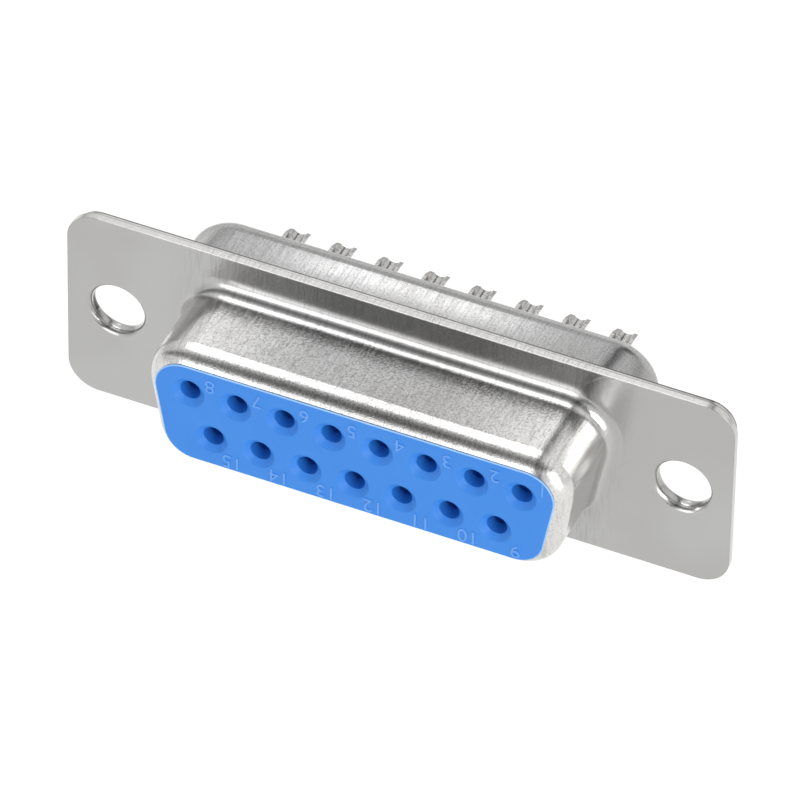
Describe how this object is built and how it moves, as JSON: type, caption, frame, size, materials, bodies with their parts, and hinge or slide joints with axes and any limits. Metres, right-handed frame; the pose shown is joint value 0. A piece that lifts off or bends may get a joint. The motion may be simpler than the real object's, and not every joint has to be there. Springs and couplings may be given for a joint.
{
  "type": "d-sub connector",
  "caption": "Female D-subminiature connector with plated steel shells, a blue insulator, rows of socket contacts, solder cups behind and a flange with mounting holes.",
  "frame": {"origin": "middle of the two mounting holes, on the flange's front face", "axes": "+X along the flange towards contact 1, -Y out of the mating side, +Y along the solder cups, +Z towards the wide side of the D"},
  "size_m": [0.039, 0.0147, 0.0126],
  "materials": {
    "shell_steel": "satin",
    "insulator_blue": "matte",
    "contact_metal": "satin"
  },
  "bodies": {
    "root": {"front_shell": "shell_steel", "rear_shell": "shell_steel", "front_insulator": "insulator_blue", "rear_insulator": "insulator_blue", "contact_01": "contact_metal", "contact_02": "contact_metal", "contact_03": "contact_metal", "contact_04": "contact_metal", "contact_05": "contact_metal", "contact_06": "contact_metal", "contact_07": "contact_metal", "contact_08": "contact_metal", "contact_09": "contact_metal", "contact_10": "contact_metal", "contact_11": "contact_metal", "contact_12": "contact_metal", "contact_13": "contact_metal", "contact_14": "contact_metal", "contact_15": "contact_metal"}
  },
  "joints": []
}
